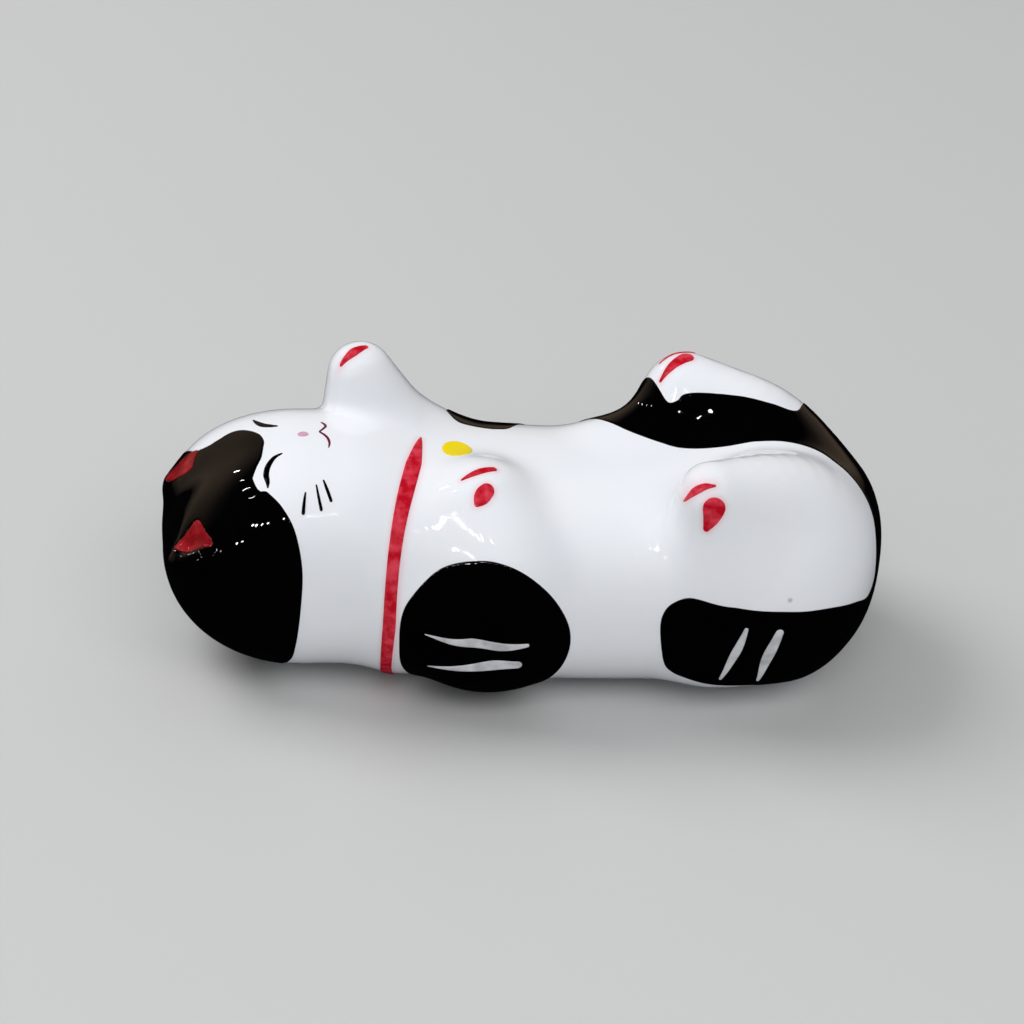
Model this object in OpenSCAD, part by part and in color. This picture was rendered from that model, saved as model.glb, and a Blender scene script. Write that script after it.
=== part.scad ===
// Chopstick rest in the form of a beckoning cat that lies on its back, in glazed porcelain.
// The crown of the head points along -X and the rump along +X. The belly faces +Z.
// The origin is at the middle of the underside, on the surface that the rest stands on.

/* [Head] */
// Length of the head, from the crown to the seam under the collar
head_length = 20.7; // [15:0.2:26]
// Width of the head across the cheeks
head_width = 21.6; // [18:0.2:30]
// Height of the face above the table
head_height = 20.2; // [16:0.5:26]
// Gap between the back of the head and the table
head_lift = 0.4; // [0.1:0.1:1.5]
// Length over which the crown rounds off
crown_round = 11.5; // [6:0.5:14]
// Height of the foremost point of the crown
crown_height = 9.5; // [8:0.5:13]

/* [Torso] */
// Length of the torso, from the seam under the collar to the rump
torso_length = 39.3; // [32:0.2:60]
// Width of the neck at the seam
neck_width = 22.4; // [18:0.2:30]
// Height of the throat above the table
throat_height = 19.2; // [15:0.2:24]
// Width of the torso at the saddle, between the forelegs and the hind legs
waist_width = 23.6; // [18:0.2:32]
// Height of the saddle, where the chopsticks lie
belly_height = 18.4; // [14:0.2:24]
// Width of the torso across the hips
hip_width = 24; // [18:0.2:32]
// Height of the torso between the hind legs
groin_height = 19.4; // [14:0.2:24]
// Length over which the rump rounds off
rump_round = 11; // [7:0.5:15]
// Height of the rearmost point of the rump
rump_height = 11.5; // [8:0.5:15]
// Depth by which the underside is ground flat
base_cut = 0.3; // [0.2:0.1:1.5]
// Distance by which the left end of the seam lies further back than its right end
seam_lead = 5.8; // [4:0.1:7]

/* [Forelegs] */
// Radius of the forelegs at the shoulder and the elbow
elbow_radius = 4.1; // [3:0.1:5.5]
// Radius of the forelegs below the elbow
forearm_radius = 4.6; // [3:0.1:5.5]
// Radius of the elbow of the raised foreleg
raised_elbow_radius = 4.7; // [3.5:0.1:5.5]
// Radius of the shoulder of the raised foreleg
raised_shoulder_radius = 5.6; // [4:0.1:7]
// Radius of the paw that is folded on the chest
folded_paw_radius = 4.6; // [3:0.1:5.5]
// Radius of the tip of the raised paw
raised_paw_radius = 2.9; // [2:0.1:4]
// Height of the raised paw above the table
raised_paw_height = 24.6; // [20:0.2:30]

/* [Hind legs] */
// Radius of the thighs
thigh_radius = 5.4; // [4:0.1:7]
// Radius of the haunches, beside the belly
haunch_radius = 6; // [4:0.1:7.5]
// Radius of the web that leads from the belly up to the left hind foot
groin_web_radius = 2.7; // [2:0.1:3.2]
// Radius of the hips, low on the flanks
hip_radius = 4.3; // [3:0.1:6]
// Radius of the knees
knee_radius = 3.8; // [3:0.1:5]
// Radius of the hind paws
foot_radius = 3.3; // [2.5:0.1:4.5]
// Height of the hind paws above the table
foot_height = 23; // [20:0.2:30]

/* [Ears] */
// Radius of the rim of the ears
ear_rim_radius = 0.8; // [0.5:0.1:1.2]
// Radius of the root of the ears
ear_root_radius = 1.7; // [1:0.1:2.5]
// Distance of the middle of the two ears from the middle of the head, to the right
ear_offset = 1; // [0.4:0.1:1.4]

/* [Enamels] */
// Thickness of one layer of coloured enamel
enamel_thickness = 0.15; // [0.1:0.01:0.3]
// Height of the bare foot, from the table up to the lowest enamel
bare_foot = 0.8; // [0.3:0.1:2]
// Gap between a shoulder patch and the collar
patch_gap = 0.6; // [0.3:0.05:1.2]
// Width of the collar
collar_width = 1.25; // [0.6:0.05:3]
// Distance by which the collar passes the middle of the throat
collar_end = 1.7; // [0.5:0.1:3]
// Diameter of the bell on the collar
bell_diameter = 2.5; // [1.5:0.1:4]
// Width of the line of a closed eye
eye_line = 0.45; // [0.25:0.05:0.8]
// Width of the line of the mouth
mouth_line = 0.26; // [0.16:0.02:0.5]
// Width of the nose
nose_width = 0.9; // [0.5:0.1:1.8]
// Width of a whisker
whisker_line = 0.36; // [0.2:0.02:0.6]
// Length of a shoulder patch
shoulder_patch_length = 14; // [8:0.5:18]
// Height of the right shoulder patch
shoulder_patch_height = 15; // [9:0.5:18]
// Height of the left shoulder patch, which reaches up the raised foreleg
left_patch_height = 21; // [15:0.5:23]
// Width of the white strokes on the black patches
stroke_width = 0.9; // [0.4:0.05:1.5]
// Width of the toe pads
toe_pad_width = 0.75; // [0.4:0.05:1.2]
// Width of the round pad of a paw
round_pad_width = 1.5; // [0.8:0.05:2.4]

/* [Hidden] */

// Facets of a body ring, of a ball in a limb or an ear, and of a round brush mark
ring_points = 28;
ball_points = 14;
ear_points = 7;
dot_points = 10;
// Steps of a curve between two points of an outline, of a limb and of the trunk
outline_steps = 3;
limb_steps = 2;
trunk_steps = 3;

rest_length = head_length + torso_length;
crown_x = -rest_length / 2;
neck_x = crown_x + head_length;
rump_x = rest_length / 2;
neck_skew = seam_lead / neck_width;
// Reach of a cut that has to pass all of the rest
reach = 2 * rest_length;
// Distance from the middle plane at which an outline drawn from the side starts
side_start = waist_width / 8;

// Roundness of the body sections, where 2 is an ellipse and more is squarer
body_fullness = 2.3;
// Roundness of the crown and the rump, in plan and in profile
crown_fullness = [3.4, 1.75];
rump_fullness = [2.3, 2.5];
end_steps = 6;
end_tip_angle = 5;

// Places of the body sections, as shares of the torso's length from the neck
chest_share = 0.28;
waist_share = 0.5;

function signed_power(value, exponent) = sign(value) * pow(abs(value), exponent);

// Point on a Catmull-Rom curve, t of the way from b to c, with its neighbours a and d.
function between(a, b, c, d, t) =
    ((2 * b) + (c - a) * t + (2 * a - 5 * b + 4 * c - d) * t * t
        + (3 * b - a - 3 * c + d) * t * t * t) / 2;

// Open curve through every vector of a list, with so many steps between two of them.
function curve(list, steps) =
    let (last = len(list) - 1)
    [
        for (i = [0:last - 1]) for (s = [0:steps - 1])
            between(list[max(i - 1, 0)], list[i], list[i + 1], list[min(i + 2, last)], s / steps),
        list[last]
    ];

// Closed curve through every vector of a list.
function loop(list, steps) =
    let (n = len(list))
    [
        for (i = [0:n - 1]) for (s = [0:steps - 1])
            between(list[(i + n - 1) % n], list[i], list[(i + 1) % n], list[(i + 2) % n], s / steps)
    ];

// One ring of a body section: full sides, and a plane that can be skewed along X.
function ring(x, half_width, bottom, top, skew) =
    let (half_height = (top - bottom) / 2,
         middle = (top + bottom) / 2)
    [
        for (i = [0:ring_points - 1])
            let (angle = 360 * i / ring_points,
                 y = half_width * signed_power(cos(angle), 2 / body_fullness),
                 z = half_height * signed_power(sin(angle), 2 / body_fullness))
            [x + skew * y, y, middle + z]
    ];

// Rings of a rounded end, from its tip to the full section at x. The end has one fullness
// in plan and another in profile.
function end_rings(x, reach, tip_height, half_width, bottom, top, end_fullness) = [
    for (s = [0:end_steps - 1])
        let (along = cos(end_tip_angle + (90 - end_tip_angle) * s / (end_steps - 1)),
             wide = pow(1 - pow(along, end_fullness[0]), 1 / end_fullness[0]),
             tall = pow(1 - pow(along, end_fullness[1]), 1 / end_fullness[1]),
             half_height = (top - bottom) / 2 * tall,
             middle = (top + bottom) / 2 * tall + tip_height * (1 - tall))
        ring(x + reach * along, half_width * wide, middle - half_height, middle + half_height, 0)
];

// Closed skin over a list of rings.
module skin(rings) {
    count = len(rings);
    n = ring_points;
    points = [for (r = rings) for (p = r) p];
    sides = [
        for (i = [0:count - 2]) for (j = [0:n - 1])
            let (a = i * n + j, b = i * n + (j + 1) % n)
            [a, a + n, b + n, b]
    ];
    first = [for (j = [0:n - 1]) j];
    final = [for (j = [0:n - 1]) count * n - 1 - j];
    polyhedron(points, concat([first], sides, [final]), convexity = 4);
}

// Head: rounded crown, then the face and cheeks, up to the skewed seam.
function head_rings(grow) =
    let (cheek_x = crown_x + crown_round,
         half_width = head_width / 2 + grow,
         bottom = head_lift - grow,
         top = head_height + grow,
         stations = [
             [cheek_x, half_width, bottom, top, 0],
             [(cheek_x + neck_x) / 2, half_width, bottom, top, neck_skew / 3],
             [neck_x, neck_width / 2 + grow, -base_cut - grow, throat_height + grow, neck_skew]
         ],
         face = curve(stations, limb_steps))
    concat(
        end_rings(cheek_x, -crown_round - grow, crown_height, half_width, bottom, top,
                  crown_fullness),
        [for (i = [1:len(face) - 1]) ring(face[i][0], face[i][1], face[i][2], face[i][3], face[i][4])]
    );

// Torso: from the skewed seam over the chest, the saddle and the hips to the rump.
function torso_rings(grow) =
    let (rump_start = rump_x - rump_round,
         bottom = -base_cut - grow,
         waist = waist_width / 2 + grow,
         hip = hip_width / 2 + grow,
         groin = groin_height + grow,
         stations = [
             [neck_x, neck_width / 2 + grow, throat_height + grow, neck_skew],
             [neck_x + torso_length * chest_share, waist, belly_height + grow, 0],
             [neck_x + torso_length * waist_share, waist, belly_height + grow, 0],
             [rump_start, hip, groin, 0]
         ],
         trunk = curve(stations, trunk_steps),
         rump = end_rings(rump_start, rump_round + grow, rump_height, hip, bottom, groin,
                          rump_fullness))
    concat(
        [for (i = [0:len(trunk) - 2]) ring(trunk[i][0], trunk[i][1], bottom, trunk[i][2], trunk[i][3])],
        [for (i = [1:end_steps]) rump[end_steps - i]]
    );

module head_form() {
    skin(head_rings(0));
}

module torso_form() {
    skin(torso_rings(0));
}

// Head and torso as one, with no seam between them.
module body_form(grow = 0) {
    tail = torso_rings(grow);
    skin(concat(head_rings(grow), [for (i = [1:len(tail) - 1]) tail[i]]));
}

// Limb: a round coil of clay through a list of [x, y, z, radius].
module coil(stations, steps, grow = 0) {
    path = curve(stations, steps);
    for (i = [0:len(path) - 2])
        hull() {
            for (p = [path[i], path[i + 1]])
                translate([p[0], p[1], p[2]]) sphere(p[3] + grow, $fn = ball_points);
        }
}

// Places on the body: along X as a share of the head's or the torso's length, across as a
// share of half its width, and up as a share of its height.
function on_head(s) = [crown_x + head_length * s[0], head_width / 2 * s[1], head_height * s[2]];
function on_torso(s) = [neck_x + torso_length * s[0], waist_width / 2 * s[1], belly_height * s[2]];
function on_hips(s) = [neck_x + torso_length * s[0], hip_width / 2 * s[1], groin_height * s[2]];
function balls(shares) = [for (s = shares) concat(on_torso(s), [s[3]])];
function hip_balls(shares) = [for (s = shares) concat(on_hips(s), [s[3]])];

raised_paw_share = (raised_paw_height - raised_paw_radius) / belly_height;
foot_share = (foot_height - foot_radius) / groin_height;

// The limbs of the left side. Each row holds three shares and a radius.
folded_foreleg_shares = [
    [0.03, 0.68, 0.49, elbow_radius],
    [0.12, 0.75, 0.32, elbow_radius],
    [0.2, 0.75, 0.36, elbow_radius],
    [0.185, 0.79, 0.65, forearm_radius],
    [0.125, 0.415, 0.865, folded_paw_radius]
];
raised_foreleg_shares = [
    [0.15, 0.7, 0.43, raised_elbow_radius],
    [0.01, 0.61, 0.68, raised_shoulder_radius],
    [-0.08, 0.61, 0.88, forearm_radius],
    [-0.115, 0.62, raised_paw_share, raised_paw_radius]
];
hind_leg_shares = [
    [0.77, 0.6, 0.345, hip_radius],
    [0.617, 0.715, 0.315, knee_radius],
    [0.617, 0.765, 0.645, knee_radius],
    [0.592, 0.71, foot_share, foot_radius]
];
haunch_shares = [
    [0.592, 0.71, foot_share, foot_radius],
    [0.77, 0.43, 0.84, thigh_radius],
    [0.75, 0.565, 0.57, haunch_radius],
    [0.77, 0.6, 0.345, hip_radius]
];
groin_web_shares = [
    [0.42, 0.42, 0.79, groin_web_radius],
    [0.5, 0.51, 0.87, groin_web_radius],
    [0.56, 0.63, 0.97, foot_radius]
];
// Fullness of the flank, between the knee and the haunch
calf_share = [0.69, 0.6, 0.53, haunch_radius];

module folded_foreleg_form(grow = 0) {
    coil(balls(folded_foreleg_shares), limb_steps, grow);
}

module raised_foreleg_form(grow = 0) {
    coil(balls(raised_foreleg_shares), limb_steps + 1, grow);
}

// Hind leg: two coils, and a full flank between them.
module hind_leg_form(grow = 0) {
    coil(hip_balls(hind_leg_shares), limb_steps, grow);
    coil(hip_balls(haunch_shares), limb_steps, grow);
    hull()
        for (b = hip_balls(concat(hind_leg_shares, haunch_shares, [calf_share])))
            translate([b[0], b[1], b[2]]) sphere(b[3] + grow, $fn = ball_points);
}

// The left hind leg stands higher out of the belly, and a web leads up to it.
module left_hind_leg_form(grow = 0) {
    hind_leg_form(grow);
    coil(hip_balls(groin_web_shares), limb_steps, grow);
}

// Ear: a low cone whose rim runs from its inner root over the tip to its outer root.
ear_rim_shares = [
    [0.11, 0.3, 0.655],
    [0.045, 0.54, 0.595],
    [0.145, 0.65, 0.65]
];
ear_root_share = [0.18, 0.48, 0.5];

module ear_form(grow = 0) {
    path = curve([for (s = ear_rim_shares) on_head(s)], limb_steps);
    for (i = [0:len(path) - 2])
        hull() {
            for (p = [path[i], path[i + 1]])
                translate(p) sphere(ear_rim_radius + grow, $fn = ear_points);
            translate(on_head(ear_root_share)) sphere(ear_root_radius + grow, $fn = ear_points);
        }
}

module right_side() {
    mirror([0, 1, 0]) children();
}

module left_ear_form(grow = 0) {
    translate([0, -ear_offset, 0]) ear_form(grow);
}

module right_ear_form(grow = 0) {
    translate([0, -ear_offset, 0]) right_side() ear_form(grow);
}

module above(height) {
    translate([-reach / 2, -reach / 2, height]) cube(reach);
}

// All of the clay, swollen by so much enamel.
module clay(grow = 0) {
    body_form(grow);
    left_ear_form(grow);
    right_ear_form(grow);
    raised_foreleg_form(grow);
    right_side() folded_foreleg_form(grow);
    left_hind_leg_form(grow);
    right_side() hind_leg_form(grow);
}

// Enamel that lies on the clay, or on other enamel, inside the outline of its children.
module enamel(layer = 0) {
    intersection() {
        difference() {
            clay((layer + 1) * enamel_thickness);
            clay(layer * enamel_thickness);
        }
        children();
    }
}

// Outlines are drawn from above in X and Y, or from one side in X and Z.
module from_above() {
    translate([0, 0, crown_height]) linear_extrude(reach) children();
}

module from_left() {
    intersection() {
        translate([0, reach + side_start, 0]) rotate([90, 0, 0]) linear_extrude(reach) children();
        above(bare_foot);
    }
}

module from_right() {
    right_side() from_left() children();
}

// A brush stroke through a list of points, with a share of its width at each.
module stroke(points, width_shares, width) {
    for (i = [0:len(points) - 2])
        hull() {
            for (k = [i, i + 1])
                translate([points[k][0], points[k][1]])
                    circle(width * width_shares[k] / 2, $fn = dot_points);
        }
}

function head_plan(shares) = [for (s = shares) let (p = on_head([s[0], s[1], 0])) [p[0], p[1]]];
function torso_plan(shares) = [for (s = shares) let (p = on_torso([s[0], s[1], 0])) [p[0], p[1]]];
function head_side(shares) = [for (s = shares) let (p = on_head([s[0], 0, s[1]])) [p[0], p[2]]];
function torso_side(shares) = [for (s = shares) let (p = on_torso([s[0], 0, s[1]])) [p[0], p[2]]];

// Outlines from above, on the head
forehead_patch_shares = [
    [-0.05, -0.14], [0.15, -0.28], [0.335, -0.44], [0.37, -0.27], [0.385, -0.08], [0.37, 0.1],
    [0.325, 0.23], [0.25, 0.32], [0.19, 0.5], [0.2, 0.72], [0.1, 0.84], [-0.05, 0.84]
];
crown_split_shares = [
    [-0.05, -0.14], [0.15, -0.28], [0.335, -0.44], [0.6, -0.5], [0.6, 1.2], [-0.05, 1.2]
];
ear_lining_shares = [[0.105, 0.32], [0.145, 0.63], [0.02, 0.56]];
ear_lining_bottom_share = 0.56;
eye_shares = [[0.449, 0.2], [0.415, 0.255], [0.39, 0.34], [0.384, 0.43], [0.389, 0.52]];
eye_width_shares = [0.5, 0.8, 1, 0.9, 0.5];
nose_share = [0.541, 0];
mouth_width_shares = [0.6, 1, 1, 0.7, 1, 1, 1, 0.6];
mouth_shares = [
    [0.614, 0.194], [0.634, 0.14], [0.632, 0.09], [0.609, 0.04],
    [0.626, -0.03], [0.643, -0.09], [0.641, -0.145], [0.628, -0.176]
];
whisker_width_shares = [0.8, 1];
whisker_shares = [
    [[0.536, 0.593], [0.527, 0.731]],
    [[0.58, 0.546], [0.594, 0.722]],
    [[0.609, 0.509], [0.638, 0.657]]
];

// Outlines from the side, on the head
side_patch_shares = [
    [-0.1, 1.2], [0.25, 1.1], [0.335, 0.92], [0.4, 0.9], [0.47, 0.86], [0.51, 0.77], [0.53, 0.64],
    [0.522, 0.5], [0.51, 0.3], [0.48, 0.1], [0.4, -0.1], [-0.1, -0.2]
];

module head() {
    color("white")
        intersection() {
            head_form();
            above(0);
        }
}

module torso() {
    color("white")
        intersection() {
            torso_form();
            above(0);
        }
}

module left_ear() {
    color("white")
        difference() {
            left_ear_form();
            body_form();
        }
}

module right_ear() {
    color("white")
        difference() {
            right_ear_form();
            body_form();
        }
}

module right_foreleg() {
    color("white")
        difference() {
            right_side() folded_foreleg_form();
            body_form();
        }
}

module left_foreleg() {
    color("white")
        difference() {
            raised_foreleg_form();
            body_form();
        }
}

module right_hind_leg() {
    color("white")
        difference() {
            right_side() hind_leg_form();
            body_form();
        }
}

module left_hind_leg() {
    color("white")
        difference() {
            left_hind_leg_form();
            body_form();
        }
}

module crown_split() {
    linear_extrude(reach) polygon(head_plan(crown_split_shares));
}

module right_ear_patch() {
    color("black")
        difference() {
            enamel() from_right() polygon(loop(head_side(side_patch_shares), outline_steps));
            crown_split();
            right_ear_lining_cut();
        }
}

module left_ear_patch() {
    color("black")
        difference() {
            enamel() intersection() {
                linear_extrude(reach) polygon(loop(head_plan(forehead_patch_shares), outline_steps));
                above(crown_height);
            }
            left_ear_lining_cut();
        }
}

module ear_lining_outline() {
    offset(ear_rim_radius / 4, $fn = dot_points) polygon(head_plan(ear_lining_shares));
}

module ear_lining_cut() {
    translate([0, 0, head_height * ear_lining_bottom_share])
        linear_extrude(reach) ear_lining_outline();
}

module left_ear_lining_cut() {
    translate([0, -ear_offset, 0]) ear_lining_cut();
}

module right_ear_lining_cut() {
    translate([0, -ear_offset, 0]) right_side() ear_lining_cut();
}

module left_ear_lining() {
    color("firebrick") enamel() left_ear_lining_cut();
}

module right_ear_lining() {
    color("firebrick") enamel() right_ear_lining_cut();
}

module eye_line_shape() {
    from_above() stroke(head_plan(eye_shares), eye_width_shares, eye_line);
}

module left_eye() {
    color("black") enamel() eye_line_shape();
}

module right_eye() {
    color("black") enamel() right_side() eye_line_shape();
}

module nose() {
    color("pink")
        enamel() from_above()
            translate(head_plan([nose_share])[0]) circle(nose_width / 2, $fn = dot_points);
}

module mouth() {
    color("maroon")
        enamel() from_above()
            stroke(head_plan(mouth_shares), mouth_width_shares, mouth_line);
}

module whiskers() {
    from_above()
        for (w = whisker_shares)
            stroke(head_plan(w), whisker_width_shares, whisker_line);
}

module left_whiskers() {
    color("black")
        difference() {
            enamel() whiskers();
            raised_foreleg_form(2 * enamel_thickness);
        }
}

module right_whiskers() {
    color("black") enamel() right_side() whiskers();
}

// Upright band of so much width along the skewed seam.
module seam_band(width) {
    translate([0, 0, bare_foot])
        linear_extrude(reach)
            polygon([
                for (e = [[-1, -1], [1, -1], [1, 1], [-1, 1]])
                    [neck_x + e[0] * width / 2 + neck_skew * e[1] * reach, e[1] * reach]
            ]);
}

// The collar hides the seam between head and torso, from the table to just past the throat.
module collar() {
    color("crimson")
        enamel() intersection() {
            seam_band(collar_width);
            translate([-reach / 2, collar_end - reach, 0]) cube(reach);
        }
}

module bell() {
    color("gold")
        enamel() from_above()
            translate(torso_plan([bell_share])[0]) circle(bell_diameter / 2, $fn = dot_points);
}

// Outlines from the side and from above, on the torso
bell_share = [0.083, 0];
shoulder_patch_middle_share = 0.44;
shoulder_stroke_shares = [
    [[0.008, 0.49], [0.07, 0.45], [0.14, 0.455], [0.2, 0.5]],
    [[0.025, 0.305], [0.09, 0.34], [0.15, 0.36], [0.2, 0.37]]
];
shoulder_stroke_width_shares = [[0.15, 0.6, 1, 0.3], [0.15, 0.6, 0.8, 0.7]];

module shoulder_patch_outline(height) {
    collar_edge = neck_x - seam_lead / 2 + collar_width / 2;
    translate([collar_edge + patch_gap + shoulder_patch_length / 2,
               belly_height * shoulder_patch_middle_share])
        scale([shoulder_patch_length, height])
            circle(d = 1, $fn = ring_points);
}

module shoulder_strokes_outline() {
    for (k = [0, 1])
        stroke(torso_side(shoulder_stroke_shares[k]), shoulder_stroke_width_shares[k], stroke_width);
}

module right_shoulder_patch() {
    color("black") enamel() from_right() shoulder_patch_outline(shoulder_patch_height);
}

module left_shoulder_patch() {
    color("black")
        difference() {
            enamel() from_left() shoulder_patch_outline(left_patch_height);
            seam_band(collar_width + 2 * patch_gap);
        }
}

module right_shoulder_strokes() {
    color("white") enamel(1) from_right() shoulder_strokes_outline();
}

module left_shoulder_strokes() {
    color("white") enamel(1) from_left() shoulder_strokes_outline();
}

// Pads of the paws. The toes are painted as one arc, above one round pad.
forepaw_toe_shares = [[0.076, 0.534], [0.107, 0.466], [0.142, 0.44]];
forepaw_pad_shares = [[0.132, 0.585], [0.12, 0.644], [0.104, 0.703]];
raised_pad_shares = [[-0.165, 0.5], [-0.14, 0.542], [-0.115, 0.593]];
right_hind_toe_shares = [[0.522, 1.08], [0.537, 1.158], [0.557, 1.2], [0.58, 1.217]];
right_hind_pad_shares = [[0.595, 1.152], [0.585, 1.098], [0.58, 1.027]];
left_hind_toe_shares = [[0.537, 0.82], [0.575, 0.864], [0.613, 0.856]];
left_hind_pad_shares = [[0.534, 0.61], [0.565, 0.686], [0.595, 0.771]];
foot_middle_share = [0.592, 0.71, 1];
toe_width_shares = [0.5, 1, 0.9, 0.6];
pad_width_shares = [0.95, 1, 0.5];
lens_width_shares = [0.4, 1, 0.7];

module right_forepaw_pads() {
    color("crimson")
        enamel() right_side() from_above() {
            stroke(torso_plan(forepaw_toe_shares), toe_width_shares, toe_pad_width);
            stroke(torso_plan(forepaw_pad_shares), pad_width_shares, round_pad_width);
        }
}

module left_forepaw_pads() {
    color("crimson")
        enamel() from_above()
            stroke(torso_plan(raised_pad_shares), lens_width_shares, round_pad_width);
}

module right_hind_pads() {
    color("crimson")
        enamel() intersection() {
            from_right() {
                stroke(torso_side(right_hind_toe_shares), toe_width_shares, toe_pad_width);
                stroke(torso_side(right_hind_pad_shares), pad_width_shares, round_pad_width);
            }
            right_side() translate([0, on_hips(foot_middle_share)[1], 0]) cube(reach);
        }
}

module left_hind_pads() {
    color("crimson")
        enamel() from_above() {
            stroke(torso_plan(left_hind_toe_shares), toe_width_shares, toe_pad_width);
            stroke(torso_plan(left_hind_pad_shares), lens_width_shares, round_pad_width);
        }
}

// The rump patch runs from the right hip round the end of the rump and up the left groin.
right_hip_shares = [
    [0.502, 0.165], [0.5, 0.353], [0.504, 0.54], [0.53, 0.63], [0.585, 0.678], [0.67, 0.62],
    [0.786, 0.628], [0.88, 0.61], [0.94, 0.585], [0.97, 0.65], [0.978, 0.75], [1.06, 0.77],
    [1.06, -0.05], [0.57, -0.05], [0.52, 0.08]
];
left_groin_shares = [
    [0.33, 0.83], [0.392, 0.551], [0.43, 0.407], [0.466, 0.254], [0.519, 0.178], [0.573, 0.093],
    [0.679, 0.045], [0.837, 0.04], [0.888, -0.076], [0.931, -0.246], [0.964, -0.38],
    [0.977, -0.55], [1.05, -0.6], [1.05, 1.27], [0.36, 1.27], [0.32, 1.05]
];
left_leg_white_shares = [
    [0.51, 0.695], [0.534, 0.534], [0.573, 0.441], [0.669, 0.331], [0.776, 0.305], [0.824, 0.415],
    [0.885, 0.763], [0.873, 1.27], [0.466, 1.27], [0.49, 0.93]
];
left_leg_white_bottom_share = 0.68;

module rump_patch() {
    color("black")
        enamel() {
            from_right() polygon(torso_side(right_hip_shares));
            difference() {
                translate([0, 0, bare_foot])
                    linear_extrude(reach) polygon(torso_plan(left_groin_shares));
                translate([0, 0, belly_height * left_leg_white_bottom_share])
                    linear_extrude(reach) polygon(torso_plan(left_leg_white_shares));
                from_left() offset(patch_gap / 2) shoulder_patch_outline(left_patch_height);
            }
        }
}

hip_stroke_shares = [
    [[0.634, 0.255], [0.667, 0.4], [0.69, 0.522]],
    [[0.718, 0.22], [0.74, 0.38], [0.751, 0.52]]
];
hip_stroke_width_shares = [[0.3, 0.9, 0.5], [0.3, 1.2, 1]];

module hip_strokes_outline() {
    for (k = [0, 1])
        stroke(torso_side(hip_stroke_shares[k]), hip_stroke_width_shares[k], stroke_width);
}

module right_hip_strokes() {
    color("white") enamel(1) from_right() hip_strokes_outline();
}

module left_hip_strokes() {
    color("white") enamel(1) from_left() hip_strokes_outline();
}

head();
torso();
right_ear();
left_ear();
right_foreleg();
left_foreleg();
right_hind_leg();
left_hind_leg();
right_ear_patch();
left_ear_patch();
right_ear_lining();
left_ear_lining();
right_eye();
left_eye();
nose();
mouth();
right_whiskers();
left_whiskers();
collar();
bell();
right_shoulder_patch();
left_shoulder_patch();
right_shoulder_strokes();
left_shoulder_strokes();
right_forepaw_pads();
left_forepaw_pads();
rump_patch();
right_hip_strokes();
left_hip_strokes();
right_hind_pads();
left_hind_pads();
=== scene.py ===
"""Looks of a ceramic chopstick rest: a beckoning cat that lies on its back, glazed white with
painted enamels."""
import math

import bpy
import numpy as np
from mathutils import Matrix, Vector


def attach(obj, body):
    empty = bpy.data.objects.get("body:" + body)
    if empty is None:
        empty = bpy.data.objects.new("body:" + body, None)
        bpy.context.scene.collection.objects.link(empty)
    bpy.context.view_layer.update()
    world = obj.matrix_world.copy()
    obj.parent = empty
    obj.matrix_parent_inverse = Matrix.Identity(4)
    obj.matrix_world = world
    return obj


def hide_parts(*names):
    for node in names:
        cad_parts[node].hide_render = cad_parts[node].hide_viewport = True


bl_info = {
    "name": "Beckoning cat chopstick rest",
    "version": (1, 0, 0),
    "blender": (4, 5, 0),
    "location": "View3D > Sidebar > Chopstick Rest",
    "description": "Builds a glazed ceramic chopstick rest in the shape of a cat on its back",
    "category": "Add Mesh",
}

MM = 0.001
X, Y, Z = 0, 1, 2
MIRROR = (1, -1, 1)

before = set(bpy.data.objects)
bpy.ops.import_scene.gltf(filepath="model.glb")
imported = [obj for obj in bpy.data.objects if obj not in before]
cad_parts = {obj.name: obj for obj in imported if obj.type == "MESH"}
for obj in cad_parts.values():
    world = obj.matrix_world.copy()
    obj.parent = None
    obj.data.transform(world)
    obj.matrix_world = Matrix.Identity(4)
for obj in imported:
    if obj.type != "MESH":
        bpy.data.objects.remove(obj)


# Settings

def length(name, description, default):
    """A length in metres, given in millimetres."""
    return bpy.props.FloatProperty(name=name, description=description, default=default * MM,
                                   subtype="DISTANCE", unit="LENGTH", precision=5)


class RestBody(bpy.types.PropertyGroup):
    head_length: length("Head length", "From the crown to the seam under the collar", 20.7)
    head_width: length("Head width", "Across the cheeks", 21.6)
    head_height: length("Head height", "From the table to the middle of the face", 20.2)
    head_lift: length("Head lift", "Gap between the head and the table", 0.4)
    crown_round: length("Crown rounding", "Length over which the crown closes", 11.5)
    crown_height: length("Crown height", "Height of the tip of the crown", 9.5)
    torso_length: length("Torso length", "From the seam to the end of the rump", 39.3)
    neck_width: length("Neck width", "Across the seam", 22.4)
    throat_height: length("Throat height", "Height of the body at the seam", 19.2)
    waist_width: length("Waist width", "Across the belly", 23.6)
    belly_height: length("Belly height", "Height of the belly in the saddle", 18.4)
    hip_width: length("Hip width", "Across the hips, without the legs", 23.96)
    groin_height: length("Groin height", "Height of the body between the hind legs", 19.4)
    rump_round: length("Rump rounding", "Length over which the rump closes", 11.0)
    rump_height: length("Rump height", "Height of the tip of the rump", 11.5)
    base_cut: length("Base cut", "Depth of the flat ground off the underside", 0.3)
    seam_lead: length("Seam lead", "How much further back the seam's left end lies", 5.8)
    fullness: bpy.props.FloatProperty(name="Fullness", default=2.3,
                                      description="Squareness of the sections, 2 for an ellipse")


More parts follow.
